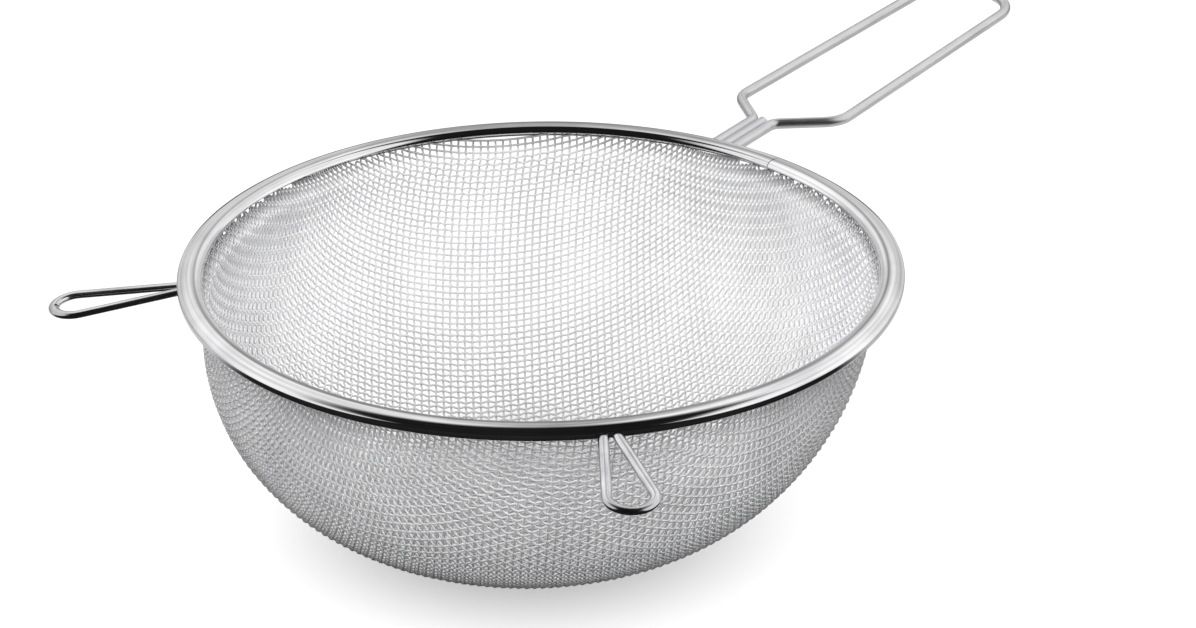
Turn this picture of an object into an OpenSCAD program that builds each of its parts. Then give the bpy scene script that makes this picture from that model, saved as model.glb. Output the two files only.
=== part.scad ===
// Kitchen sieve: a wire mesh bowl held in a rolled steel rim, with a bent wire handle and two
// rest loops that lie on the edge of a pot. The origin is under the middle of the rim, level with
// the lowest point of the bowl. +Z goes up through the rim and +X runs out along the handle.

/* [Rim] */
// Outer diameter of the rim
rim_d = 200; // [180:1:220]
// Width of the rolled rim, from its inner to its outer edge
rim_w = 7; // [6.5:0.1:9]
// Height of the rolled rim
rim_h = 4; // [3.6:0.1:5]
// Thickness of the sheet that the rim is rolled from
rim_sheet = 0.5; // [0.3:0.05:0.7]
// Where the ends of the rolled sheet meet, in degrees from the handle
seam_turn = -11; // [-30:1:-8]
// Open width of the seam
seam_gap = 0.3; // [0.1:0.05:0.6]

/* [Bowl] */
// Depth from the middle of the rim to the lowest point outside
bowl_depth = 80.3; // [72:0.1:92]
// Radius of the flatter dome at the bottom
dome_r = 150; // [135:1:200]
// Distance from the middle of the rim down to where the side begins to curve in
wall_h = 9; // [7:0.5:14]
// How far the mesh wall hangs inside the rim's inner edge
mesh_inset = 1; // [0.5:0.1:2]
// How far the bowl lies to one side of the rim's middle
bowl_shift = 3.8; // [0:0.1:5]
// Turn of that side from the handle, in degrees
shift_turn = 122.7; // [0:0.1:180]

/* [Mesh] */
// Number of wires of one layer on each side of its middle wire
mesh_wires = 23; // [10:1:23]
// Width of a mesh wire
mesh_wire_w = 0.8; // [0.5:0.05:1.2]
// Thickness of a mesh wire, square to the bowl
mesh_wire_t = 0.45; // [0.3:0.05:0.6]
// Gap between the two layers of wires
layer_gap = 0.5; // [0.4:0.05:0.7]
// Turn of the mesh from the handle, in degrees
mesh_turn = 32.7; // [0:0.1:90]

/* [Handle] */
// Diameter of the handle wire
handle_wire_d = 3.1; // [2.5:0.1:3.6]
// How far the handle reaches beyond the rim
handle_reach = 151; // [110:1:200]
// Outer width of the handle at its corners beside the fork
handle_w = 37.5; // [30:0.5:46]
// Outer width of the handle at its round end
handle_end_w = 33.2; // [26:0.1:37]
// Length of the neck, from the rim to the fork
neck_l = 21.5; // [12:0.5:35]
// How far the neck lies to the left of the handle's middle line
neck_shift = 1.6; // [0:0.1:3]
// Distance along the handle from the fork to the corners
fork_l = 12.5; // [10:0.5:20]
// Bend radius at the fork, to the middle of the wire
fork_r = 4.5; // [3:0.1:6]
// Bend radius at the corners, to the middle of the wire
corner_r = 10; // [5:0.5:12]
// Downward slope of the handle, in degrees
handle_slope = 1.7; // [0:0.1:4]
// How far below the middle of the rim the handle meets it
handle_drop = 0.75; // [0:0.05:1]

/* [Rest loops] */
// Width of the flattened loop wire
loop_wire_w = 3; // [2.4:0.1:3.6]
// Thickness of the flattened loop wire
loop_wire_t = 1.9; // [1.5:0.1:2.3]
// How far a loop reaches beyond the rim
loop_reach = 35.5; // [25:0.5:45]
// Outer width of the round end of a loop
loop_w = 15.5; // [12:0.1:20]
// Downward slope of a loop, in degrees
loop_slope = 7; // [0:0.5:12]
// How far below the middle of the rim a loop meets it
loop_drop = 1; // [0.4:0.1:1.2]
// Turn of the left loop from the handle, in degrees
loop_left_turn = 127.2; // [100:0.1:150]
// Turn of the right loop from the handle, in degrees
loop_right_turn = -136.6; // [-150:0.1:-100]

/* [Hidden] */
$fn = 96;

// Clearances
roll_clear = 0.2;
slot_clear = 0.2;
weld_gap = 0.1;
side_gap = 0.05;
foot_gap = 0.45;
// How far the feet of the handle and loops reach in under the round of the rim
foot_in = 1.2;
// How a straight of a bent wire joins its bends
straight_scale = 0.995;
bend_overlap = 0.05;

// Rim: a strip rolled to a flat tube round the hoop wire and the edge of the mesh
rim_r = rim_d / 2;
rim_mid_r = rim_r - rim_w / 2;
rim_z = bowl_depth;
seam_angle = seam_gap / rim_r * 180 / PI;
hoop_d = rim_h - 2 * rim_sheet - 2 * roll_clear;
hoop_r = rim_r - rim_sheet - roll_clear - hoop_d / 2;

// Hem: the pressed edge of the mesh, in the room between the hoop wire and the rim's inner wall
hem_from = rim_r - rim_w + rim_sheet + roll_clear;
hem_room = hoop_r - hoop_d / 2 - roll_clear - hem_from;
hem_reach = min(hem_room, hoop_d) / 2;
hem_r = hem_from + hem_reach;
hem_facets = 72;

// Bowl: a shallow dome, a tighter curve tangent to it, a short upright wall, and a flare into
// the rim. Heights here are measured from the middle of the rim.
mouth_r = rim_r - rim_w - mesh_inset;
mesh_half_t = layer_gap / 2 + mesh_wire_t;
dome_depth = bowl_depth - mesh_half_t;
side_depth = dome_depth - wall_h;
side_r = (2 * dome_r * side_depth - pow(side_depth, 2) - pow(mouth_r, 2)) / (2 * (dome_r - mouth_r));
dome_angle = asin((mouth_r - side_r) / (dome_r - side_r));
// How far below the rim the mesh begins to lean out towards it
flare_drop = 4;
flare_h = rim_h / 2 + flare_drop;
flare_w = hem_r - mouth_r;
flare_angle = atan2(flare_h, flare_w);
dome_arc = dome_r * dome_angle * PI / 180;
side_arc = side_r * (90 - dome_angle) * PI / 180;
flare_from = dome_arc + side_arc + wall_h - flare_h;
mesh_arc = flare_from + norm([flare_w, flare_h]);
// The outermost wires stop short of the flare by this share of the space between two wires
mesh_margin = 0.4;
mesh_pitch = flare_from / (mesh_wires + mesh_margin);
// Straight pieces in each half of the middle wire, without the flare
mesh_pieces = 8;

// Handle, in its own plane: x runs out from the rim's axis, y to the left
handle_half_w = (handle_w - handle_wire_d) / 2;
handle_end_r = (handle_end_w - handle_wire_d) / 2;
handle_end_x = rim_r + handle_reach - handle_wire_d / 2 - handle_end_r;
fork_x = rim_r + neck_l;
corner_x = fork_x + fork_l;
neck_half_w = handle_wire_d + side_gap;

// Rest loop, in its own plane
loop_end_r = (loop_w - loop_wire_w) / 2;
loop_end_x = rim_r + loop_reach - loop_wire_w / 2 - loop_end_r;
loop_foot_y = (loop_wire_w + foot_gap) / 2;

// A bar with round sides, lying flat
module round_bar(w, h) {
    square([w - h, h], center = true);
    for (side = [-1, 1]) translate([side * (w - h) / 2, 0]) circle(d = h);
}

// Everything that is placed on the rim's middle plane
module at_rim() {
    translate([0, 0, rim_z]) children();
}

module rim_band() {
    color("gainsboro")
    at_rim()
    rotate([0, 0, seam_turn + seam_angle / 2])
    rotate_extrude(angle = 360 - seam_angle)
    difference() {
        translate([rim_mid_r, 0]) round_bar(rim_w, rim_h);
        translate([rim_mid_r, 0]) round_bar(rim_w - 2 * rim_sheet, rim_h - 2 * rim_sheet);
        mesh_slot();
    }
}

// The slot under the inner side of the rim, where the mesh comes out
module mesh_slot() {
    slot_w = 2 * (mesh_half_t + slot_clear);
    translate([hem_r, 0])
    rotate(flare_angle)
    translate([-rim_h, -slot_w / 2])
    square([rim_h, slot_w]);
}

module hoop_wire() {
    color("darkgray")
    at_rim()
    rotate_extrude()
    translate([hoop_r, 0])
    circle(d = hoop_d);
}

// The bowl's outline at a distance s along the mesh from its middle: radius, height and slope
function outline(s) =
    s <= dome_arc
        ? let(t = s / dome_r * 180 / PI)
            [dome_r * sin(t), dome_r * (1 - cos(t)) - dome_depth, t]
    : s <= dome_arc + side_arc
        ? let(t = dome_angle + (s - dome_arc) / side_r * 180 / PI)
            [mouth_r - side_r + side_r * sin(t), -wall_h - side_r * cos(t), t]
    : s <= flare_from
        ? [mouth_r, s - flare_from - flare_h, 90]
        : let(d = s - flare_from)
            [mouth_r + d * cos(flare_angle), d * sin(flare_angle) - flare_h, flare_angle];

// How far the bowl lies off the middle at a height. Below the flare it eases over to one side.
function off_middle(z) =
    bowl_shift * (1 - pow(1 - max(0, -flare_h - z) / (dome_depth - flare_h), 3));

// A point of the mesh where it was flat, c across and v along a wire that was laid with a turn,
// pressed into the bowl and lifted off the middle of the mesh by k
function pressed(c, v, turn, k) =
    let(o = outline(norm([c, v])), a = atan2(v, c) + turn, r = o[0] + k * sin(o[2]),
        z = o[1] - k * cos(o[2]), off = off_middle(z))
    [r * cos(a) + off * cos(shift_turn), r * sin(a) + off * sin(shift_turn), z];

function unit(v) = v / norm(v);

// Stations along a wire: one at the rim, one where the flare begins, and even steps between
function stations(c) =
    let(end = sqrt(pow(mesh_arc, 2) - c * c), flare = sqrt(pow(flare_from, 2) - c * c),
        steps = ceil(mesh_pieces * flare / flare_from))
    [-end, for (i = [-steps:steps]) flare * i / steps, end];

// One mesh wire of triangular section, with its flat side towards the other layer
module mesh_wire(c, turn, side) {
    v = stations(c);
    last = len(v) - 1;
    flat = [for (t = v) pressed(c, t, turn, side * layer_gap / 2)];
    ridge = [for (t = v) pressed(c, t, turn, side * mesh_half_t)];
    across = [for (i = [0:last])
        unit(cross(ridge[i] - flat[i], flat[min(i + 1, last)] - flat[max(i - 1, 0)]))
            * mesh_wire_w / 2];
    points = [for (i = [0:last]) each [flat[i] - across[i], flat[i] + across[i], ridge[i]]];
    sides = [for (i = [0:last - 1], j = [0:2])
        [3 * i + 3 + j, 3 * i + 3 + (j + 1) % 3, 3 * i + (j + 1) % 3, 3 * i + j]];
    polyhedron(points, [[0, 1, 2], each sides, [3 * last + 2, 3 * last + 1, 3 * last]]);
}

// The hem's square section where the ring has turned by a, with one face square to the flare
function hem_section(a) = [for (corner = [0:3])
    let(t = flare_angle + 45 + 90 * corner, r = hem_r + hem_reach * cos(t))
    [r * cos(a), r * sin(a), hem_reach * sin(t)]];

// The pressed edge of the mesh, a ring of short straight pieces that share their corners
module hem() {
    piece = 360 / hem_facets;
    for (i = [0:hem_facets - 1]) hull() polyhedron(
        concat(hem_section(i * piece), hem_section((i + 1) % hem_facets * piece)),
        [[0, 1, 2, 3], [4, 5, 6, 7]]);
}

module mesh_bowl() {
    color("lightgray")
    at_rim() {
        for (i = [-mesh_wires:mesh_wires]) {
            mesh_wire(i * mesh_pitch, mesh_turn, 1);
            mesh_wire(i * mesh_pitch, mesh_turn + 90, -1);
        }
        rotate([0, 0, mesh_turn]) hem();
    }
}

// Signed turn of a path at its point i
function bend_at(path, i) =
    let(a = path[i] - path[i - 1], b = path[i + 1] - path[i]) atan2(cross(a, b), a * b);
// Length that the bend of radius r takes off the straights beside point i
function setback(path, r, i) =
    i == 0 || i == len(path) - 1 ? 0 : r[i] * tan(abs(bend_at(path, i)) / 2);
// The length of the straight from point i on to the next bend
function straight_at(path, r, i) =
    norm(path[i + 1] - path[i]) - setback(path, r, i) - setback(path, r, i + 1);

// Direction of the straight from point p that just touches the end round, on its left side
function touch_angle(p, end_x, end_r) =
    let(d = [end_x, 0] - p) atan2(d[1], d[0]) + asin(end_r / norm(d));
// A leg's path with the point where it touches the end round
function whole_leg(path, end_x, end_r) =
    let(a = touch_angle(path[len(path) - 1], end_x, end_r))
    concat(path, [[end_x - end_r * sin(a), end_r * cos(a)]]);

// A bent wire in a plane, from the origin along x. Each step is a straight, the turn of the bend
// after it and the bend's radius. The section is the child, drawn with x across the wire. The
// straights are a hair slimmer than the bends and reach a little way into them.
module bent_wire(steps, i = 0) {
    straight = steps[i][0];
    turn = steps[i][1];
    side = sign(turn) * steps[i][2];
    from = i > 0 ? -bend_overlap : 0;
    to = straight + (turn != 0 ? bend_overlap : 0);
    translate([from, 0, 0]) rotate([90, 0, 90]) linear_extrude(to - from)
        scale(straight_scale) children();
    if (turn != 0) translate([straight, side, 0])
        rotate([0, 0, -90 * sign(turn) + min(turn, 0)])
        rotate_extrude(angle = abs(turn)) translate([abs(side), 0]) children();
    if (i < len(steps) - 1) translate([straight, side, 0]) rotate([0, 0, turn])
        translate([0, -side, 0]) bent_wire(steps, i + 1) children();
}

// A loop: out along the left leg, round the end and back along the right leg. Both legs are
// given as if on the left, with the bend radius r[i] at point i.
module loop(left, right, r, end_x, end_r) {
    out = whole_leg(left, end_x, end_r);
    back = whole_leg(right, end_x, end_r);
    last = len(out) - 2;
    round_turn = touch_angle(left[last], end_x, end_r)
        + touch_angle(right[last], end_x, end_r) + 180;
    start = out[1] - out[0];
    translate([out[0][0], out[0][1], 0]) rotate([0, 0, atan2(start[1], start[0])])
    bent_wire([
        for (i = [0:1:last - 1]) [straight_at(out, r, i), bend_at(out, i + 1), r[i + 1]],
        [straight_at(out, r, last), -round_turn, end_r],
        for (i = [last:-1:1]) [straight_at(back, r, i), bend_at(back, i), r[i]],
        [straight_at(back, r, 0), 0, 0]
    ])
    children();
}

// Tilts a plane down from the rim's edge, and cuts what is in it to fit round the rim
module on_rim(drop, slope) {
    difference() {
        translate([rim_r, 0, -drop]) rotate([0, slope, 0]) translate([-rim_r, 0, 0]) children();
        rotate_extrude()
        translate([rim_mid_r, 0])
        round_bar(rim_w + 2 * weld_gap, rim_h + 2 * weld_gap);
    }
}

module handle() {
    start_x = rim_r - foot_in;
    left = [[start_x, neck_half_w + neck_shift], [fork_x, neck_half_w + neck_shift],
        [corner_x, handle_half_w]];
    right = [[start_x, neck_half_w - neck_shift], [fork_x, neck_half_w - neck_shift],
        [corner_x, handle_half_w]];
    color("silver")
    at_rim()
    on_rim(handle_drop, handle_slope)
    loop(left, right, [0, fork_r, corner_r], handle_end_x, handle_end_r)
    circle(d = handle_wire_d);
}

// The short wire that fills the neck between the two ends of the handle
module neck_spacer() {
    start_x = rim_r - foot_in;
    color("darkgray")
    at_rim()
    on_rim(handle_drop, handle_slope)
    translate([start_x, neck_shift, 0])
    bent_wire([[fork_x - start_x, 0, 0]])
    circle(d = handle_wire_d);
}

module rest_loop(turn) {
    foot = [[rim_r - foot_in, loop_foot_y]];
    color("silver")
    at_rim()
    rotate([0, 0, turn])
    on_rim(loop_drop, loop_slope)
    loop(foot, foot, [0], loop_end_x, loop_end_r)
    round_bar(loop_wire_w, loop_wire_t);
}

module rest_loop_left() {
    rest_loop(loop_left_turn);
}

module rest_loop_right() {
    rest_loop(loop_right_turn);
}

rim_band();
hoop_wire();
mesh_bowl();
handle();
neck_spacer();
rest_loop_left();
rest_loop_right();
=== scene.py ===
# %% [markdown]
# # A wire mesh sieve
# The sieve is a bowl of woven wire cloth. The cloth's edge is caught in a rim rolled from thin
# sheet, and a bent wire handle and two wire loops are welded to the rim. The construction comes
# in first as a fixed frame. Every piece made here takes its place from that frame, so nothing
# has to be fitted afterwards.

# %% Load the construction
import math

import bpy
import numpy as np
from mathutils import Matrix, Vector


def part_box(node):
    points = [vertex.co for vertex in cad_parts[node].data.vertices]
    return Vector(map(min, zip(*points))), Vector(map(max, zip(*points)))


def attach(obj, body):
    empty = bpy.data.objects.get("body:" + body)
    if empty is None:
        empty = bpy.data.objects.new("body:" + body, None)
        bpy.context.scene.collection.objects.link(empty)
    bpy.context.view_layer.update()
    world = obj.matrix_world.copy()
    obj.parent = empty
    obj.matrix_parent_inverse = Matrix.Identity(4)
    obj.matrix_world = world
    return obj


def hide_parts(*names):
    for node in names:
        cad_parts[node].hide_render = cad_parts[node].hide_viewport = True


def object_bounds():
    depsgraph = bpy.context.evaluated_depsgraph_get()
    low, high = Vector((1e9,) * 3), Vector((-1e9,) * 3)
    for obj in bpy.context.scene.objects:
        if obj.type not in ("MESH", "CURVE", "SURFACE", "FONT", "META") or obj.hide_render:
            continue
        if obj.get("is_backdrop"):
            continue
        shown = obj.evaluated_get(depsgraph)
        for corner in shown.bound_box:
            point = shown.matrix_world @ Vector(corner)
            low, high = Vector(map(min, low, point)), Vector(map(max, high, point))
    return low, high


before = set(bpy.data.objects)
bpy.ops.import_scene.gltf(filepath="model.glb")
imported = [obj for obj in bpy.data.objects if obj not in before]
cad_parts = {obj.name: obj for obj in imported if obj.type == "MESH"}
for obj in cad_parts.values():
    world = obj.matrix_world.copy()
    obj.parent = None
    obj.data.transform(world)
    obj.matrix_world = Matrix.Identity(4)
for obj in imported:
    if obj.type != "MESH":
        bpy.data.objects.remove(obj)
cad_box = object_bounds()
mm = 0.001
rim_low, rim_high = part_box("rim_band")
rim_r = (rim_high.y - rim_low.y) / 2
rim_h = rim_high.z - rim_low.z
rim_z = (rim_low.z + rim_high.z) / 2
print(f"rim: {2 * rim_r / mm:.1f} mm across, {rim_h / mm:.1f} mm high, {rim_z / mm:.1f} mm up")

# %% [markdown]
# ## The camera
# A camera comes before any modelling, because every later choice is judged through it. The
# photograph was taken from far away with a long lens, so the rim's near and far sides have
# almost the same size. The camera is placed by how a photographer would say it: how far from
# the rim, how high above it, and which way round from the handle.

# %% Aim the camera
camera_lens = 165.55
camera_sensor = 36
camera_distance = 1512.6 * mm
camera_height_angle = math.radians(25.9)
camera_turn = math.radians(32.7)
camera_roll = math.radians(0.46)
aim_right = 15.6 * mm
aim_down = 12.03 * mm

rim_middle = Vector((0, 0, rim_z))
away = Vector((math.cos(camera_turn), math.sin(camera_turn), 0))
look = away * math.cos(camera_height_angle) - Vector((0, 0, 1)) * math.sin(camera_height_angle)
level = look.cross(Vector((0, 0, 1))).normalized()
upward = level.cross(look)
image_right = level * math.cos(camera_roll) - upward * math.sin(camera_roll)
image_up = level * math.sin(camera_roll) + upward * math.cos(camera_roll)

camera_data = bpy.data.cameras.new("camera")
camera_data.lens = camera_lens
camera_data.sensor_width = camera_sensor
camera = bpy.data.objects.new("camera", camera_data)
bpy.context.scene.collection.objects.link(camera)
camera_place = rim_middle + level * aim_right - upward * aim_down - look * camera_distance
camera_turned = Matrix((image_right, image_up, -look)).transposed().to_4x4()
camera.matrix_world = Matrix.Translation(camera_place) @ camera_turned
bpy.context.scene.camera = camera
print("camera at", [round(x, 3) for x in camera.location])

# %% [markdown]
# ## Two helpers for node trees
# Shaders and Geometry Nodes are both trees of nodes. Typing each node's place and links by hand
# hides what a tree does, so two small classes do the typing. `Nodes` adds a node: its settings
# first, then a value or a link for each socket. `Number` wraps a socket, so that a sum written
# in Python becomes the Math nodes that work it out.

# %% Helpers for node trees
class Nodes:
    """Adds nodes to one tree."""

    def __init__(self, tree):
        self.tree = tree

    def add(self, kind, settings=None, sockets=None):
        """A node with its settings made first, then its sockets, by name or number."""
        node = self.tree.nodes.new(kind)
        for name, value in (settings or {}).items():
            setattr(node, name, value)
        for name, value in (sockets or {}).items():
            self.feed(node.inputs[name], value)
        return node

    def feed(self, socket, value):
        """Links a socket to another socket or a Number, or gives it a value."""
        value = value.socket if isinstance(value, Number) else value
        if isinstance(value, bpy.types.NodeSocket):
            self.tree.links.new(value, socket)
        else:
            socket.default_value = value

    def number(self, socket):
        return Number(self, socket)


class Number:
    """A number in a tree. Python's operators on it add Math nodes."""

    def __init__(self, nodes, socket):
        self.nodes = nodes
        self.socket = socket

    def math(self, operation, *others):
        values = dict(enumerate((self, *others)))
        node = self.nodes.add("ShaderNodeMath", {"operation": operation}, values)
        return Number(self.nodes, node.outputs[0])

    def __add__(self, other):
        return self.math("ADD", other)

    def __mul__(self, other):
        return self.math("MULTIPLY", other)

    def __sub__(self, other):
        return self.math("SUBTRACT", other)

    def __rsub__(self, other):
        return self * -1 + other

    def __truediv__(self, other):
        return self.math("DIVIDE", other)

    def __rtruediv__(self, other):
        return self.math("POWER", -1) * other

    __radd__ = __add__
    __rmul__ = __mul__


# %% [markdown]
# ## Helpers for Geometry Nodes
# A tree of Geometry Nodes turns a simple start, such as a line of corner points, into a finished
# piece. Each tree has named inputs for its sizes. The result is copied to a plain mesh, because
# an exported model keeps meshes and drops modifiers.

# %% Helpers for Geometry Nodes
def shape_tree(name, inputs):
    """A Geometry Nodes tree with named inputs, given as a socket type for each name."""
    tree = bpy.data.node_groups.new(name, "GeometryNodeTree")
    tree.interface.new_socket("Geometry", in_out="INPUT", socket_type="NodeSocketGeometry")
    for label, kind in inputs.items():
        tree.interface.new_socket(label, in_out="INPUT", socket_type="NodeSocket" + kind)
    tree.interface.new_socket("Geometry", in_out="OUTPUT", socket_type="NodeSocketGeometry")
    nodes = Nodes(tree)
    given = nodes.add("NodeGroupInput").outputs
    return nodes, given


def end_tree(nodes, geometry, material):
    """Ends a tree: real geometry instead of instances, smooth faces and a material."""
    real = nodes.add("GeometryNodeRealizeInstances", None, {"Geometry": geometry})
    smooth = nodes.add("GeometryNodeSetShadeSmooth", None, {"Geometry": real.outputs[0]})
    sockets = {"Geometry": smooth.outputs[0], "Material": material}
    coloured = nodes.add("GeometryNodeSetMaterial", None, sockets)
    nodes.add("NodeGroupOutput", None, {"Geometry": coloured.outputs[0]})
    return nodes.tree


def grow(name, tree, start, sizes):
    """Runs a tree on a start mesh and keeps the result as a plain mesh object."""
    source = bpy.data.objects.new(name + "_start", start)
    bpy.context.scene.collection.objects.link(source)
    modifier = source.modifiers.new("shape", "NODES")
    modifier.node_group = tree
    for item in tree.interface.items_tree:
        if item.in_out == "INPUT" and item.name in sizes:
            modifier[item.identifier] = sizes[item.name]
    ready = source.evaluated_get(bpy.context.evaluated_depsgraph_get())
    mesh = bpy.data.meshes.new_from_object(ready)
    mesh.name = name
    bpy.data.objects.remove(source)
    piece = bpy.data.objects.new(name, mesh)
    bpy.context.scene.collection.objects.link(piece)
    mesh.calc_loop_triangles()
    print(f"{name}: {len(mesh.loop_triangles)} triangles")
    return piece


def path_mesh(name, points, edges, attributes):
    """A mesh of points and edges. An attribute is its name, type, domain and values."""
    mesh = bpy.data.meshes.new(name)
    mesh.from_pydata([tuple(p) for p in points], edges, [])
    for label, kind, domain, values in attributes:
        layer = mesh.attributes.new(label, kind, domain)
        key = "vector" if kind == "FLOAT_VECTOR" else "value"
        layer.data.foreach_set(key, np.asarray(values).ravel())
    return mesh


# %% [markdown]
# ## Helpers for shaders
# Four small helpers say what the finishes and the studio need. `noise` is a cloudy pattern.
# `spread` stretches the middle of a noise, where nearly all of it lies, to run from 0 to 1.
# `ease` is a soft step. `blend_colour` mixes two colours with a Mix node, because a Math node
# would turn them grey.

# %% Helpers for shaders
def noise(nodes, vector, scale, detail):
    sockets = {"Vector": vector, "Scale": scale, "Detail": detail}
    texture = nodes.add("ShaderNodeTexNoise", {"noise_dimensions": "3D"}, sockets)
    return nodes.number(texture.outputs["Fac"])


def spread(value, low, high):
    return (value - low) / (high - low)


def ease(nodes, value, start, end):
    """Rises smoothly from 0 to 1 while the value goes from start to end."""
    settings = {"interpolation_type": "SMOOTHSTEP"}
    sockets = {"Value": value, "From Min": start, "From Max": end}
    return nodes.number(nodes.add("ShaderNodeMapRange", settings, sockets).outputs["Result"])


def blend_colour(nodes, factor, first, second):
    settings = {"data_type": "RGBA", "clamp_factor": True}
    sockets = {"Factor": factor, 6: first, 7: second}
    return nodes.add("ShaderNodeMix", settings, sockets).outputs[2]


# %% [markdown]
# ## Steel finishes
# All of the sieve is bright stainless steel, but it isn't one finish. The rolled rim is almost a
# mirror with faint lines left by the rollers. The loops' drawn wire is a little duller, with lines
# along its length, and the handle's is duller still, as hands and washing leave it. The cloth's
# wires are the dullest. One function makes all of them. Steel is a metal with a pale base colour,
# and what tells the finishes apart is how rough it is and how that changes over the surface.
# Cloudy noise on Object coordinates changes the tone slowly. A second noise, stretched along the
# piece by its own coordinates, makes the lines.

# %% Lines and painted shade
cloud_detail = 3
cloud_range = (0.35, 0.65)
line_detail = 2
line_range = (0.38, 0.62)
line_share = 0.6
bump_strength = 0.35
# The tone of the painted shade, and the heights where it darkens the cloth: up from its foot, and
# just under the rim.
painted_shade_tone = (0.47, 0.47, 0.48)
painted_foot_shade = (-10 * mm, 45 * mm)
painted_rim_shade = (rim_z - 6 * mm, rim_z - 2 * mm)


def line_vector(nodes, stretch):
    """The piece's own coordinates, along and around, stretched so that noise makes lines."""
    along = nodes.add("ShaderNodeAttribute", {"attribute_name": "along"}).outputs["Fac"]
    around = nodes.add("ShaderNodeAttribute", {"attribute_name": "around"}).outputs["Fac"]
    sockets = {
        "X": nodes.number(along) * stretch[0],
        "Y": nodes.number(around) * stretch[1],
    }
    return nodes.add("ShaderNodeCombineXYZ", None, sockets).outputs[0]


def clear_of_painted_shade(nodes, place):
    """1 on the bowl's side, less towards its foot and just under the rim, where shade is painted.
    """
    height = nodes.add("ShaderNodeSeparateXYZ", None, {0: place}).outputs["Z"]
    return ease(nodes, height, *painted_foot_shade) * (1 - ease(nodes, height, *painted_rim_shade))


# %% A function for steel
def steel(name, tones, rough, cloud_size, metallic=1.0, painted_shade_at_ends=False, lines=None, relief=0.0):
    """A metal between two tones and two roughnesses. lines is how its noise is stretched."""
    material = bpy.data.materials.new(name)
    material.use_nodes = True
    material.node_tree.nodes.clear()
    nodes = Nodes(material.node_tree)
    place = nodes.add("ShaderNodeTexCoord").outputs["Object"]
    cloud = noise(nodes, place, 1 / cloud_size, cloud_detail)
    tone = spread(cloud, *cloud_range)
    roughness = rough[0] + (rough[1] - rough[0]) * cloud
    sockets = {"Metallic": metallic}
    if lines:
        line = noise(nodes, line_vector(nodes, lines), 1.0, line_detail)
        tone = tone * (1 - line_share) + spread(line, *line_range) * line_share
        roughness = roughness + (line - 0.5) * (rough[1] - rough[0])
        settings = {"Strength": bump_strength, "Distance": relief, "Height": line}
        sockets["Normal"] = nodes.add("ShaderNodeBump", None, settings).outputs[0]
    colour = blend_colour(nodes, tone, (*tones[0], 1), (*tones[1], 1))
    # Painted shade: the colour goes over to the dark tone towards the foot and just under the rim.
    if painted_shade_at_ends:
        colour = blend_colour(nodes, clear_of_painted_shade(nodes, place), (*painted_shade_tone, 1), colour)
    sockets.update({"Base Color": colour, "Roughness": roughness})
    shader = nodes.add("ShaderNodeBsdfPrincipled", None, sockets)
    nodes.add("ShaderNodeOutputMaterial", None, {"Surface": shader.outputs[0]})
    return material


# %% [markdown]
# The cloth gets two things of its own. Its colour is darker near its foot and just under the
# rim. This is painted shade, for the shade at the bottom of the bowl and the rim's shadow on the
# cloth's edge. And it is only partly metal: light bounces about between so many small wires that
# from a step away they look almost matt.

# %% The four finishes
rim_tones = ((0.56, 0.56, 0.57), (0.86, 0.86, 0.87))
wire_tones = ((0.44, 0.44, 0.45), (0.78, 0.78, 0.79))
handle_tones = ((0.56, 0.56, 0.57), (0.72, 0.72, 0.73))
mesh_tones = ((0.80, 0.80, 0.81), (0.88, 0.88, 0.89))
roller_lines = (14, 34)
drawn_lines = (40, 9)
roller_relief = 0.02 * mm
drawn_relief = 0.008 * mm

rim_steel = steel(
    "rim_steel",
    rim_tones,
    rough=(0.05, 0.12),
    cloud_size=18 * mm,
    lines=roller_lines,
    relief=roller_relief,
)
wire_steel = steel(
    "wire_steel",
    wire_tones,
    rough=(0.13, 0.24),
    cloud_size=9 * mm,
    lines=drawn_lines,
    relief=drawn_relief,
)
handle_steel = steel(
    "handle_steel",
    handle_tones,
    rough=(0.30, 0.44),
    cloud_size=9 * mm,
    lines=drawn_lines,
    relief=drawn_relief,
)
mesh_steel = steel(
    "mesh_steel",
    mesh_tones,
    rough=(0.30, 0.45),
    cloud_size=14 * mm,
    metallic=0.4,
    # painted shade at the foot and under the rim
    painted_shade_at_ends=True,
)
finishes = (rim_steel, wire_steel, handle_steel, mesh_steel)
print("finishes:", ", ".join(material.name for material in finishes))

# %% [markdown]
# ## The bowl's outline
# A flat disc of wire cloth is pressed over a round tool, so the bowl is a turned shape: a shallow
# dome, a tighter curve, a short upright wall and a flare that leads into the rim. The outline is
# written as a formula of the distance along the cloth from its middle, because cloth keeps its
# lengths when it is pressed.

# %% The bowl's outline
bowl_depth = rim_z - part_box("mesh_bowl")[0].z
mesh_half_t = 0.73 * mm
dome_r = 150 * mm
wall_h = 9 * mm
mouth_r = 92 * mm
flare_drop = 4 * mm
hem_r = 95 * mm

dome_depth = bowl_depth - mesh_half_t
side_depth = dome_depth - wall_h
side_r = (2 * dome_r * side_depth - side_depth**2 - mouth_r**2) / (2 * (dome_r - mouth_r))
dome_angle = math.asin((mouth_r - side_r) / (dome_r - side_r))
flare_h = rim_h / 2 + flare_drop
flare_angle = math.atan2(flare_h, hem_r - mouth_r)
dome_arc = dome_r * dome_angle
side_arc = side_r * (math.pi / 2 - dome_angle)
flare_from = dome_arc + side_arc + wall_h - flare_h
mesh_arc = flare_from + math.hypot(hem_r - mouth_r, flare_h)


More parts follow.
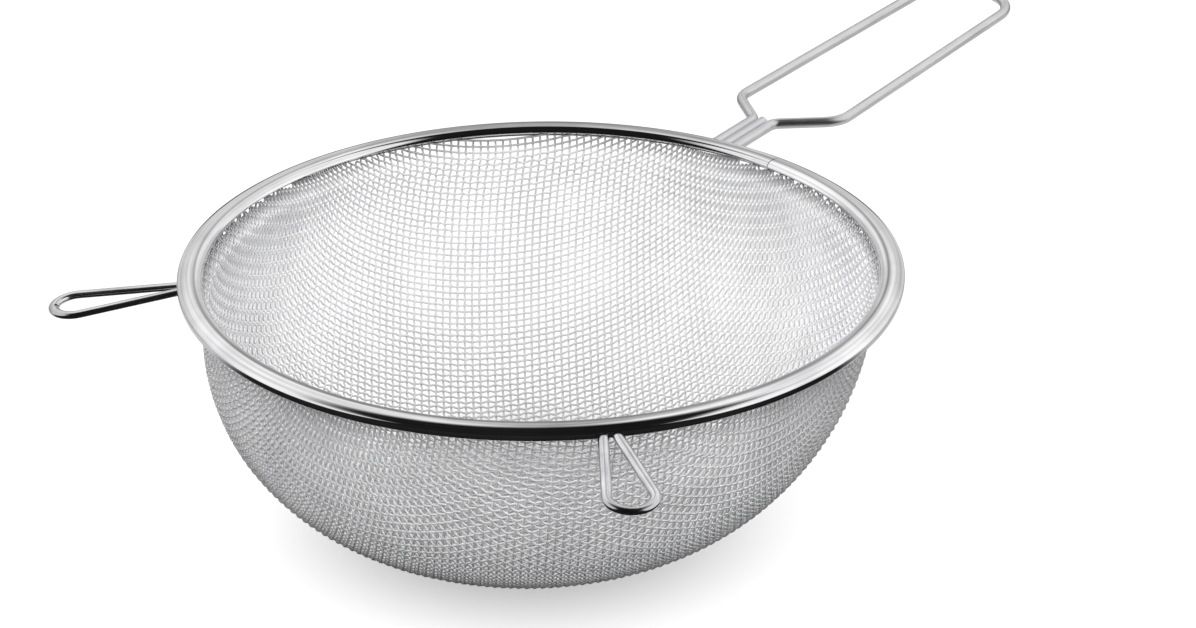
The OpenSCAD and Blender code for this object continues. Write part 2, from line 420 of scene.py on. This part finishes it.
def outline(s):
    """Radius, height from the rim's middle and slope of the cloth, s along it from its middle."""
    if s <= dome_arc:
        t = s / dome_r
        return dome_r * math.sin(t), dome_r * (1 - math.cos(t)) - dome_depth, t
    if s <= dome_arc + side_arc:
        t = dome_angle + (s - dome_arc) / side_r
        return mouth_r - side_r + side_r * math.sin(t), -wall_h - side_r * math.cos(t), t
    if s <= flare_from:
        return mouth_r, s - flare_from - flare_h, math.pi / 2
    d = s - flare_from
    rise = d * math.sin(flare_angle) - flare_h
    return mouth_r + d * math.cos(flare_angle), rise, flare_angle


print(f"cloth: {mesh_arc / mm:.1f} mm from its middle to its edge")
print(f"side radius: {side_r / mm:.1f} mm")

# %% [markdown]
# ## Where the wires cross
# The wires of woven cloth can't stretch, but they turn at their crossings like a garden trellis.
# So the cloth lies on the bowl as a net in which every mesh keeps its sides and changes its
# angles. The net is worked out crossing by crossing: the two middle wires run straight up the
# bowl, and each next crossing is the point of the bowl that lies one pitch from both of its
# finished neighbours. This is what makes the meshes narrow in the four corners between the
# middle wires. This cloth isn't quite regular: one family of wires lies closer than the other,
# and it was pressed a little askew, so the middle wires aren't square to each other.

# %% Where the wires cross
pitches = (1.82 * mm, 2.18 * mm)
middle_turns = (math.radians(34.5), math.radians(132.3))
corrections = 6


def on_bowl(s, turn):
    """A point of the bowl, and how it moves with s and with turn."""
    r, z, slope = outline(s)
    ray = np.array([math.cos(turn), math.sin(turn), 0])
    side = np.array([-math.sin(turn), math.cos(turn), 0])
    point = ray * r + [0, 0, z]
    return point, ray * math.cos(slope) + [0, 0, math.sin(slope)], side * r


def next_crossing(a, b, lengths, s, turn):
    """The point of the bowl at two given lengths from a and b, by correcting a guess."""
    for _ in range(corrections):
        point, by_s, by_turn = on_bowl(s, turn)
        away_from = np.array([point - a, point - b])
        error = (away_from**2).sum(1) - np.square(lengths)
        change = 2 * away_from @ np.array([by_s, by_turn]).T
        step = np.linalg.solve(change, error)
        s, turn = s - step[0], turn - step[1]
    return s, turn


def quarter_net(lengths, opening):
    """Distance from the middle and turn of each crossing between two middle wires."""
    counts = [int(mesh_arc / length) for length in lengths]
    net = {(i, 0): (i * lengths[0], 0.0) for i in range(counts[0] + 1)}
    net.update({(0, j): (j * lengths[1], opening) for j in range(1, counts[1] + 1)})
    corner_x = lengths[0] + lengths[1] * math.cos(opening)
    corner_y = lengths[1] * math.sin(opening)
    for i in range(1, counts[0] + 1):
        for j in range(1, counts[1] + 1):
            if (i - 1, j) not in net or (i, j - 1) not in net:
                continue
            left, below, corner = net[i - 1, j], net[i, j - 1], net[i - 1, j - 1]
            guess = (left[0] + below[0] - corner[0], left[1] + below[1] - corner[1])
            if (i, j) == (1, 1):
                guess = (math.hypot(corner_x, corner_y), math.atan2(corner_y, corner_x))
            a, b = on_bowl(*left)[0], on_bowl(*below)[0]
            s, turn = next_crossing(a, b, lengths, *guess)
            if s <= mesh_arc + lengths[0]:
                net[i, j] = (s, turn)
    return {key: place for key, place in net.items() if place[0] <= mesh_arc}


def whole_net():
    """All crossings, by their number in each family. Opposite quarters are alike."""
    opening = middle_turns[1] - middle_turns[0]
    net = {}
    for (i, j), (s, turn) in quarter_net(pitches, opening).items():
        net[i, j] = (s, middle_turns[0] + turn)
    for (j, i), (s, turn) in quarter_net(pitches[::-1], math.pi - opening).items():
        net[-i, j] = (s, middle_turns[1] + turn)
    for (i, j), (s, turn) in list(net.items()):
        net[-i, -j] = (s, turn + math.pi)
    return net


net = whole_net()
wires_each_side = (max(i for i, _ in net), max(j for _, j in net))
print(f"{wires_each_side} wires each side of the middle, {len(net)} crossings")

# %% [markdown]
# The net becomes a mesh of points and edges. Each point remembers which way the cloth faces there
# and whether the first family of wires passes over or under. Each edge remembers its family and
# the number of its wire. The real bowl doesn't hang quite under the middle of its rim, so below
# the flare the points ease over to one side, as they do in the construction.

# %% The net as a mesh
bowl_shift = 3.8 * mm
shift_turn = math.radians(122.7)
shift_way = Vector((math.cos(shift_turn), math.sin(shift_turn), 0))


def off_middle(z):
    """How far the bowl lies off the middle at a height."""
    share = max(0.0, -flare_h - z) / (dome_depth - flare_h)
    return bowl_shift * (1 - (1 - share) ** 3)


def crossing(s, turn):
    """Place of a crossing and the cloth's outward direction there."""
    r, z, slope = outline(s)
    ray = Vector((math.cos(turn), math.sin(turn), 0))
    place = ray * r + shift_way * off_middle(z) + Vector((0, 0, z + rim_z))
    return place, ray * math.sin(slope) - Vector((0, 0, math.cos(slope)))


net_keys = sorted(net)
number_of = {key: n for n, key in enumerate(net_keys)}
net_edges = []
for i, j in net_keys:
    for family, neighbour in enumerate([(i, j + 1), (i + 1, j)]):
        if neighbour in number_of:
            edge = (number_of[i, j], number_of[neighbour])
            net_edges.append((edge, family, (i, j)[family]))
places = [crossing(*net[key]) for key in net_keys]
cloth_net = path_mesh(
    "cloth_net",
    [place for place, _ in places],
    [edge for edge, _, _ in net_edges],
    [
        ("outward", "FLOAT_VECTOR", "POINT", [tuple(out) for _, out in places]),
        ("over", "FLOAT", "POINT", [1.0 - 2.0 * ((i + j) % 2) for i, j in net_keys]),
        ("family", "INT", "EDGE", [family for _, family, _ in net_edges]),
        ("wire", "INT", "EDGE", [wire for _, _, wire in net_edges]),
    ],
)
print(f"cloth net: {len(net_keys)} points, {len(net_edges)} edges")

# %% [markdown]
# ## The woven wires
# In a plain weave each wire goes over one neighbour and under the next. The tree below keeps the
# edges of one family of wires, turns each row of edges into a curve and puts two points beside
# each crossing, a quarter of a pitch before and after it. Between an over and an under the
# remembered number is halved at those points, so lifting each point by twice that number gives
# the wire its flat-topped wave. A little noise keeps the wires from looking printed. The round
# section has only six sides, because there are hundreds of wires.

# %% A tree for the woven wires
def remembered(nodes, name, kind="FLOAT"):
    """What each point or edge remembers under a name."""
    settings = {"data_type": kind}
    node = nodes.add("GeometryNodeInputNamedAttribute", settings, {"Name": name})
    return node.outputs["Attribute"]


def woven_tree():
    inputs = {
        "Family": "Int",
        "First Wire": "Int",
        "Last Wire": "Int",
        "Wire Diameter": "Float",
        "Unevenness": "Float",
        "Unevenness Scale": "Float",
        "Sides": "Int",
        "Material": "Material",
    }
    nodes, given = shape_tree("woven_wires", inputs)
    wire = nodes.number(remembered(nodes, "wire", "INT"))
    family = nodes.number(remembered(nodes, "family", "INT"))
    same_family = family.math("COMPARE", given["Family"], 0.5)
    first = wire.math("GREATER_THAN", nodes.number(given["First Wire"]) - 0.5)
    last = wire.math("LESS_THAN", nodes.number(given["Last Wire"]) + 0.5)
    sockets = {"Geometry": given["Geometry"], "Selection": 1 - same_family * first * last}
    kept = nodes.add("GeometryNodeDeleteGeometry", {"domain": "EDGE"}, sockets)
    curves = nodes.add("GeometryNodeMeshToCurve", None, {"Mesh": kept.outputs[0]})

    meshes = nodes.number(nodes.add("GeometryNodeSplineLength").outputs["Point Count"]) - 1
    start = 0.25 / meshes
    sockets = {"Curve": curves.outputs[0], "Start": start, "End": 1 - start}
    trimmed = nodes.add("GeometryNodeTrimCurve", {"mode": "FACTOR"}, sockets)
    sockets = {"Curve": trimmed.outputs[0], "Count": meshes * 2}
    stepped = nodes.add("GeometryNodeResampleCurve", {"mode": "COUNT"}, sockets)

    radius = nodes.number(given["Wire Diameter"]) * 0.5
    side = 1 - nodes.number(given["Family"]) * 2
    lift = nodes.number(remembered(nodes, "over")) * 2 * radius * side
    sockets = {0: remembered(nodes, "outward", "FLOAT_VECTOR"), "Scale": lift}
    wave = nodes.add("ShaderNodeVectorMath", {"operation": "SCALE"}, sockets)
    texture = nodes.add(
        "ShaderNodeTexNoise", None, {"Scale": given["Unevenness Scale"], "Detail": 1.0}
    )
    sockets = {0: texture.outputs["Color"], 1: (0.5, 0.5, 0.5)}
    centred = nodes.add("ShaderNodeVectorMath", {"operation": "SUBTRACT"}, sockets)
    sockets = {0: centred.outputs[0], "Scale": given["Unevenness"]}
    uneven = nodes.add("ShaderNodeVectorMath", {"operation": "SCALE"}, sockets)
    sockets = {0: wave.outputs[0], 1: uneven.outputs[0]}
    offset = nodes.add("ShaderNodeVectorMath", {"operation": "ADD"}, sockets)
    sockets = {"Geometry": stepped.outputs[0], "Offset": offset.outputs[0]}
    waved = nodes.add("GeometryNodeSetPosition", None, sockets)

    sockets = {"Resolution": given["Sides"], "Radius": radius}
    section = nodes.add("GeometryNodeCurvePrimitiveCircle", None, sockets)
    sockets = {"Curve": waved.outputs[0], "Profile Curve": section.outputs[0], "Fill Caps": True}
    wires = nodes.add("GeometryNodeCurveToMesh", None, sockets)
    return end_tree(nodes, wires.outputs[0], given["Material"])


# %% [markdown]
# The cloth is made in four pieces, so that none of them grows too heavy: each family of wires is
# one half up to the middle wire, and the other half from there.

# %% Weave the cloth
mesh_wire_d = 0.62 * mm
unevenness = 0.16 * mm
unevenness_scale = 120.0
mesh_wire_sides = 6

weave = woven_tree()
for family, family_name in enumerate(["warp", "weft"]):
    last_wire = wires_each_side[family]
    for half, (first, last) in {"near": (-last_wire, -1), "far": (0, last_wire)}.items():
        sizes = {
            "Family": family,
            "First Wire": first,
            "Last Wire": last,
            "Wire Diameter": mesh_wire_d,
            "Unevenness": unevenness,
            "Unevenness Scale": unevenness_scale,
            "Sides": mesh_wire_sides,
            "Material": mesh_steel,
        }
        wires = grow(f"cloth_{family_name}_{half}", weave, cloth_net.copy(), sizes)
        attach(wires, "root")
        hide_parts("mesh_bowl")

# %% [markdown]
# ## The rolled rim
# The rim is a strip of thin sheet, rolled by machine round the cloth's edge and a stiff hoop wire,
# with its two ends meeting at a seam. A torus would have the wrong section. So the section is
# drawn as the sheet really lies. It starts at the slot that the cloth comes out of, slopes up on
# the inside, runs nearly flat over the top and round the wire, and ends on the slot's other side.

# %% Drawing a section
def rounded(line, steps=12):
    """Points of a line that turns clockwise. Each corner is given as x, y and its bend radius."""
    points = [tuple(line[0][:2])]
    for before, (x, y, radius), after in zip(line, line[1:], line[2:]):
        corner = Vector((x, y))
        back = (Vector(before[:2]) - corner).normalized()
        on = (Vector(after[:2]) - corner).normalized()
        half_angle = back.angle(on) / 2
        middle = corner + (back + on).normalized() * (radius / math.sin(half_angle))
        first = corner + back * (radius / math.tan(half_angle)) - middle
        for step in range(steps + 1):
            turn = (2 * half_angle - math.pi) * step / steps
            points.append(tuple(middle + Matrix.Rotation(turn, 2) @ first))
    return points + [tuple(line[-1][:2])]


def inside_of(points, sheet):
    """The same line, moved to its right by the thickness of the sheet."""
    moved = []
    for before, point, after in zip(points[:1] + points, points, points[1:] + points[-1:]):
        along = (Vector(after) - Vector(before)).normalized()
        moved.append((point[0] + along.y * sheet, point[1] - along.x * sheet))
    return moved


# %% The section of the rolled sheet
rim_w = 7 * mm
rim_sheet = 0.4 * mm
rim_line_mm = [
    (-2.69, -0.62, 0),
    (-3.55, 0.05, 0.2),
    (-3.09, 1.35, 1.8),
    (0.69, 2.22, 7.0),
    (3.5, 0.47, 0.7),
    (3.5, -2.0, 1.5),
    (-0.9, -2.0, 0.8),
    (-1.43, -1.59, 0),
]
rim_line = [tuple(value * mm for value in corner) for corner in rim_line_mm]
outer_side = rounded(rim_line)
rolled_section = outer_side + inside_of(outer_side, rim_sheet)[::-1]
print(f"rolled section: {len(rolled_section)} points")

# %% [markdown]
# ## A tree that sweeps a section along a path
# The rim, the handle and the loops are all one section carried along a path, so one tree makes
# them all. The path comes in as a few corner points, each with the radius of its bend, as a wire
# bender's drawing gives them, and Fillet Curve rounds the corners. The tree also writes down how
# far along and around the piece each point lies, which the finish uses for its fine lines.

# %% A tree for swept pieces
weld_distance = 0.001 * mm


def swept_tree():
    inputs = {
        "Section": "Object",
        "Flat Side": "Vector",
        "Bend Steps": "Int",
        "Material": "Material",
    }
    nodes, given = shape_tree("swept_piece", inputs)

    def store(geometry, name, value):
        settings = {"data_type": "FLOAT", "domain": "POINT"}
        sockets = {"Geometry": geometry, "Name": name, "Value": value}
        return nodes.add("GeometryNodeStoreNamedAttribute", settings, sockets).outputs[0]

    path = nodes.add("GeometryNodeMeshToCurve", None, {"Mesh": given["Geometry"]})
    sockets = {
        "Curve": path.outputs[0],
        "Count": given["Bend Steps"],
        "Radius": remembered(nodes, "bend"),
        "Limit Radius": False,
    }
    bent = nodes.add("GeometryNodeFilletCurve", {"mode": "POLY"}, sockets)
    sockets = {"Curve": bent.outputs[0], "Normal": given["Flat Side"]}
    facing = nodes.add("GeometryNodeSetCurveNormal", {"mode": "FREE"}, sockets)
    travelled = nodes.add("GeometryNodeSplineParameter").outputs
    measured = store(facing.outputs[0], "along", travelled["Length"])
    drawn = nodes.add("GeometryNodeObjectInfo", None, {"Object": given["Section"]})
    section = nodes.add("GeometryNodeMeshToCurve", None, {"Mesh": drawn.outputs["Geometry"]})
    ringed = store(section.outputs[0], "around", travelled["Factor"])
    sockets = {"Curve": measured, "Profile Curve": ringed, "Fill Caps": True}
    tube = nodes.add("GeometryNodeCurveToMesh", None, sockets)
    sockets = {"Geometry": tube.outputs[0], "Distance": weld_distance}
    merged = nodes.add("GeometryNodeMergeByDistance", None, sockets)
    return end_tree(nodes, merged.outputs[0], given["Material"])


sweep = swept_tree()
print("sweep tree:", len(sweep.nodes), "nodes")

# %% [markdown]
# Each swept piece takes the place of one solid of the construction, which it hides. It rides on
# the same body, so that it can be handled like the solid it stands for, and takes the finish it is
# given.

# %% Sweep a piece
bend_steps = 12


def line_edges(count):
    return [(n, n + 1) for n in range(count - 1)]


def ring_edges(count):
    return line_edges(count) + [(count - 1, 0)]


def swept(name, node, finish, section, path, bends, flat_side):
    """A section swept along a path, which takes the place of a node of the construction."""
    up_and_out = [(y, x, 0) for x, y in section]
    outline_mesh = path_mesh(name + "_section", up_and_out, ring_edges(len(section)), [])
    drawing = bpy.data.objects.new(name + "_section", outline_mesh)
    start = path_mesh(name, path, line_edges(len(path)), [("bend", "FLOAT", "POINT", bends)])
    sizes = {
        "Section": drawing,
        "Flat Side": tuple(flat_side),
        "Bend Steps": bend_steps,
        "Material": finish,
    }
    piece = grow(name, sweep, start, sizes)
    bpy.data.objects.remove(drawing)
    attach(piece, "root")
    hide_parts(node)


# %% [markdown]
# The rolled sheet follows a circle that stops just short of itself, which leaves the thin line of
# the seam. The hoop wire inside it hardly shows, so the construction's own solid stays in the
# scene and only gets its finish.

# %% Roll the rim
seam_turn = math.radians(-11)
seam_gap = 0.3 * mm
rim_steps = 360
half_gap = seam_gap / rim_r / 2
rim_turns = np.linspace(seam_turn + half_gap, seam_turn + 2 * math.pi - half_gap, rim_steps + 1)
rim_mid_r = rim_r - rim_w / 2
rim_path = [(rim_mid_r * math.cos(t), rim_mid_r * math.sin(t), rim_z) for t in rim_turns]
rim_bends = [0] * len(rim_path)
upright = (0, 0, 1)
swept(
    "rolled_rim",
    "rim_band",
    rim_steel,
    rolled_section,
    rim_path,
    rim_bends,
    upright,
)
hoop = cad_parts["hoop_wire"]
for material_slot in hoop.material_slots:
    material_slot.material = wire_steel

# %% [markdown]
# ## Bent wires
# The handle is one wire, bent in one plane: two ends side by side in the neck, a fork, two legs
# and a round end. A rest loop is the same idea in small. Both planes lean down a little from the
# rim. So a wire is drawn flat first, as a few corners, and then tilted and turned to its place.
# Its round end is two quarter bends that meet at the tip, so the leg's line is first followed out
# to the tip.

# %% Plans of the bent wires
def leg_turn(corner, end_x, end_r):
    """Direction of the leg from its last corner that just touches the round end."""
    to_middle = Vector((end_x - corner[0], -corner[1]))
    return math.atan2(to_middle.y, to_middle.x) + math.asin(end_r / to_middle.length)


def wire_plan(left, right, end_x, end_r):
    """Corners of a wire from its left end to its right end. Both legs are given as left ones."""
    tip = end_x + end_r
    corners = []
    for leg, side in ((left, 1), (right, -1)):
        last_x, last_y = leg[-1]
        reach = last_y + (tip - last_x) * math.tan(leg_turn(leg[-1], end_x, end_r))
        corners.append([(x, side * y) for x, y in (*leg, (tip, reach))])
    return corners[0] + corners[1][::-1]


def at_rim(plan, turn, drop, slope):
    """Tilts a flat plan down from the rim's edge and turns it to its place."""
    edge = Matrix.Translation((rim_r, 0, rim_z - drop)) @ Matrix.Rotation(slope, 4, "Y")
    place = Matrix.Rotation(turn, 4, "Z") @ edge @ Matrix.Translation((-rim_r, 0, 0))
    return [place @ Vector((x, y, 0)) for x, y in plan], place.to_3x3() @ Vector((0, 0, 1))


# %% [markdown]
# Drawn wire is round. The loops' wire was flattened a little, which gives a section between an
# ellipse and a rectangle. One formula with a fullness draws both.

# %% Sections of the wires
def flat_round(width, height, fullness=2.0, steps=24):
    """Points round a flattened bar, clockwise from its top. 2 makes an ellipse, more is fuller."""
    points = []
    for n in range(steps):
        turn = math.pi / 2 - 2 * math.pi * n / steps
        c, s = math.cos(turn), math.sin(turn)
        x = math.copysign(abs(c) ** (2 / fullness), c) * width / 2
        y = math.copysign(abs(s) ** (2 / fullness), s) * height / 2
        points.append((x, y))
    return points


# %% [markdown]
# ### The handle
# A bending machine pushes the real handle round one corner after another, and its two ends are
# welded to the rim beside a short straight wire that fills the space between them. Here the
# corners are given in the same order, each with its bend. Bending a finished cylinder by eye
# would make the wire thinner on the outside of each bend.

# %% Bend the handle
handle_wire_d = 3.1 * mm
handle_w = 37.5 * mm
handle_end_w = 33.2 * mm
neck_l = 21.5 * mm
neck_shift = 1.6 * mm
neck_half_w = handle_wire_d + 0.05 * mm
fork_l = 12.5 * mm
fork_r = 4.5 * mm
corner_r = 10 * mm
handle_slope = math.radians(1.7)
handle_drop = 0.75 * mm
foot_in = 1.2 * mm

handle_tip = rim_r + 151 * mm
handle_end_r = (handle_end_w - handle_wire_d) / 2
handle_end_x = handle_tip - handle_wire_d / 2 - handle_end_r
foot_x = rim_r - foot_in
fork_x = rim_r + neck_l
corner = (fork_x + fork_l, (handle_w - handle_wire_d) / 2)
left_leg = [(x, neck_half_w + neck_shift) for x in (foot_x, fork_x)] + [corner]
right_leg = [(x, neck_half_w - neck_shift) for x in (foot_x, fork_x)] + [corner]
handle_plan = wire_plan(left_leg, right_leg, handle_end_x, handle_end_r)
handle_bends = [0, fork_r, corner_r, handle_end_r, handle_end_r, corner_r, fork_r, 0]
round_wire = flat_round(handle_wire_d, handle_wire_d)
path, plane = at_rim(handle_plan, 0, handle_drop, handle_slope)
swept(
    "bent_handle", "handle", handle_steel, round_wire, path, handle_bends, plane
)

spacer_plan = [(foot_x, neck_shift), (fork_x, neck_shift)]
path, plane = at_rim(spacer_plan, 0, handle_drop, handle_slope)
swept(
    "short_neck_wire", "neck_spacer", handle_steel, round_wire, path, [0, 0], plane
)

# %% [markdown]
# ### The rest loops
# A loop lies on a pot's edge across from the handle. Both its feet meet on the rim, where they are
# welded. It is made in the handle's way, with other numbers. The two loops don't sit at quite the
# same angle in the photograph, so each has its own turn.

# %% Bend the rest loops
loop_wire_w = 3 * mm
loop_wire_t = 1.9 * mm
loop_fullness = 2.2
loop_reach = 35.5 * mm
loop_w = 15.5 * mm
loop_slope = math.radians(7)
loop_drop = 1 * mm
foot_gap = 0.45 * mm
loop_turns = {"left": math.radians(127.2), "right": math.radians(-136.6)}

loop_end_r = (loop_w - loop_wire_w) / 2
loop_end_x = rim_r + loop_reach - loop_wire_w / 2 - loop_end_r
loop_foot = [(foot_x, (loop_wire_w + foot_gap) / 2)]
loop_plan = wire_plan(loop_foot, loop_foot, loop_end_x, loop_end_r)
loop_bends = [0, loop_end_r, loop_end_r, 0]
flat_wire = flat_round(loop_wire_w, loop_wire_t, loop_fullness)
for side, turn in loop_turns.items():
    path, plane = at_rim(loop_plan, turn, loop_drop, loop_slope)
    swept(
        f"bent_loop_{side}",
        f"rest_loop_{side}",
        wire_steel,
        flat_wire,
        path,
        loop_bends,
        plane,
    )

# %% [markdown]
# ## The table
# Bright metal has hardly any look of its own, because it shows the room. So the room is built to
# be mirrored, and the camera is shown something else. To the camera the table is white, from a
# glow of the table's own and not from more light, so the steel keeps its tones. The soft grey pool
# under the bowl is partly a real, weak shadow on the grey table and partly painted shadow: the
# glow is turned down round the bowl's foot. In the metal the table is dark in front of the sieve,
# which draws the black band along the near rim, and bright beside and behind it.

# %% Table
floor_size = 4.0
table_tone = 0.15
mirrored_tone = 0.01
floor_glow = 0.88
# Painted shadow: the camera's glow drops to this near the bowl's foot and rises again over the
# fade.
painted_shadow_glow = 0.32
painted_shadow_fade = (20 * mm, 85 * mm)
painted_shadow_back = 6 * mm
mirror_glow = 0.7
mirror_near = (-20 * mm, 60 * mm)
mirror_far = (300 * mm, 550 * mm)


def grey(tone):
    return (tone, tone, tone, 1)


def floor_material():
    """A grey table with a glow for the camera, turned down round the bowl's foot as painted
    shadow, and another one for mirroring metal.
    """
    material = bpy.data.materials.new("white_table")
    material.use_nodes = True
    material.node_tree.nodes.clear()
    nodes = Nodes(material.node_tree)
    rays = nodes.add("ShaderNodeLightPath").outputs
    table = nodes.add("ShaderNodeBsdfDiffuse", None, {"Color": grey(table_tone)})
    mirrored = nodes.add("ShaderNodeBsdfDiffuse", None, {"Color": grey(mirrored_tone)})
    sockets = {0: rays["Is Glossy Ray"], 1: table.outputs[0], 2: mirrored.outputs[0]}
    seen = nodes.add("ShaderNodeMixShader", None, sockets)

    # Painted shadow: the glow for the camera is turned down round the bowl's foot.
    place = nodes.add("ShaderNodeTexCoord").outputs["Object"]
    sockets = {0: place, 1: tuple(shift_way * bowl_shift + away * painted_shadow_back)}
    from_foot = nodes.add("ShaderNodeVectorMath", {"operation": "DISTANCE"}, sockets)
    share = ease(nodes, from_foot.outputs["Value"], *painted_shadow_fade)
    glow = (share * (floor_glow - painted_shadow_glow) + painted_shadow_glow) * nodes.number(rays["Is Camera Ray"])

    sockets = {0: place, 1: tuple(away)}
    along = nodes.add("ShaderNodeVectorMath", {"operation": "DOT_PRODUCT"}, sockets)
    behind = along.outputs["Value"]
    share = ease(nodes, behind, *mirror_near) * (1 - ease(nodes, behind, *mirror_far))
    glow = glow + share * mirror_glow * nodes.number(rays["Is Glossy Ray"])

    white = nodes.add("ShaderNodeEmission", None, {"Color": grey(1), "Strength": glow})
    both = nodes.add("ShaderNodeAddShader", None, {0: seen.outputs[0], 1: white.outputs[0]})
    nodes.add("ShaderNodeOutputMaterial", None, {"Surface": both.outputs[0]})
    return material


edge = floor_size / 2
corners = [(-edge, -edge, 0), (edge, -edge, 0), (edge, edge, 0), (-edge, edge, 0)]
floor_data = bpy.data.meshes.new("floor")
floor_data.from_pydata(corners, [], [(0, 1, 2, 3)])
floor_data.materials.append(floor_material())
floor = bpy.data.objects.new("floor", floor_data)
bpy.context.scene.collection.objects.link(floor)
floor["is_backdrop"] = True
print(f"table: {floor_size} m wide")

# %% [markdown]
# ## The studio
# The world stands in for the studio, by the direction in which a mirrored ray leaves. A pale wall
# stands behind the sieve. It whitens towards its top and has a narrow darker gap in its middle,
# which shows as a line along the rim. A soft box hangs to each side, fairly high, and each
# direction is weighed by how far it points towards them. The ceiling and the camera's side stay
# dark, for the black band inside the far rim. The numbers are directions: 0 is square to a way,
# and 1 points straight along it.

# %% Studio round the table
studio_bright = 1.15
studio_dark = 0.012
box_sideways, box_right, box_high, box_behind = 0.8, 0.06, 0.45, 0.1
box_starts = (0.70, 0.80)
gap_depth = 0.58
gap_half_w = 0.10
wall_low_share = 0.66
wall_whitens = (0.30, 0.52)
wall_starts = (0.1, 0.3)
wall_ends = (0.76, 0.88)


def studio():
    """White for the camera. For the steel: soft boxes left and right, a pale wall behind."""
    world = bpy.data.worlds.new("studio")
    world.use_nodes = True
    world.node_tree.nodes.clear()
    nodes = Nodes(world.node_tree)
    direction = nodes.add("ShaderNodeTexCoord").outputs["Generated"]

    def towards(way):
        sockets = {0: direction, 1: tuple(way)}
        node = nodes.add("ShaderNodeVectorMath", {"operation": "DOT_PRODUCT"}, sockets)
        return nodes.number(node.outputs["Value"])

    right, behind, high = towards(level), towards(away), towards((0, 0, 1))
    sideways = right.math("ABSOLUTE")
    to_boxes = sideways * box_sideways + right * box_right
    to_boxes = to_boxes + high * box_high + behind * box_behind
    boxes = ease(nodes, to_boxes, *box_starts)
    gap = gap_depth * (1 - ease(nodes, sideways, 0.0, gap_half_w))
    whiteness = wall_low_share + (1 - wall_low_share) * ease(nodes, high, *wall_whitens)
    wall = (1 - ease(nodes, high, *wall_ends)) * ease(nodes, behind, *wall_starts)
    wall = wall * whiteness * (1 - gap)
    room = boxes.math("MAXIMUM", wall) * (studio_bright - studio_dark) + studio_dark
    camera_ray = nodes.number(nodes.add("ShaderNodeLightPath").outputs["Is Camera Ray"])
    sockets = {"Color": grey(1), "Strength": room + camera_ray * (1 - room)}
    shader = nodes.add("ShaderNodeBackground", None, sockets)
    nodes.add("ShaderNodeOutputWorld", None, {"Surface": shader.outputs[0]})
    return world


bpy.context.scene.world = studio()
bpy.context.scene.view_settings.view_transform = "Standard"
print("world:", bpy.context.scene.world.name)

# %% [markdown]
# Two lamps light the cloth and make the soft shadow. The metal doesn't mirror them, because their
# square outlines would show as hard patches along the rim and the wires.

# %% Lamps
def lamp(name, size, power, place):
    """A square soft box that faces the middle of the rim. Bright metal doesn't mirror it."""
    data = bpy.data.lights.new(name, "AREA")
    data.size = size
    data.energy = power
    light = bpy.data.objects.new(name, data)
    bpy.context.scene.collection.objects.link(light)
    light.visible_glossy = False
    light.location = place
    light.rotation_euler = (rim_middle - Vector(place)).to_track_quat("-Z", "Y").to_euler()
    print(f"{name}: {size} m, {power} W")


key_place = rim_middle + away * 0.5 - level * 0.3 + Vector((0, 0, 1.2))
fill_place = rim_middle - away * 1.15 - level * 0.15 + Vector((0, 0, 1.15))
lamp("key", size=0.9, power=11, place=key_place)
lamp("fill", size=1.5, power=38, place=fill_place)

# %% Finish
visual_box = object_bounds()
sizes = {"cad": [list(c) for c in cad_box], "visual": [list(c) for c in visual_box]}
print(sizes)
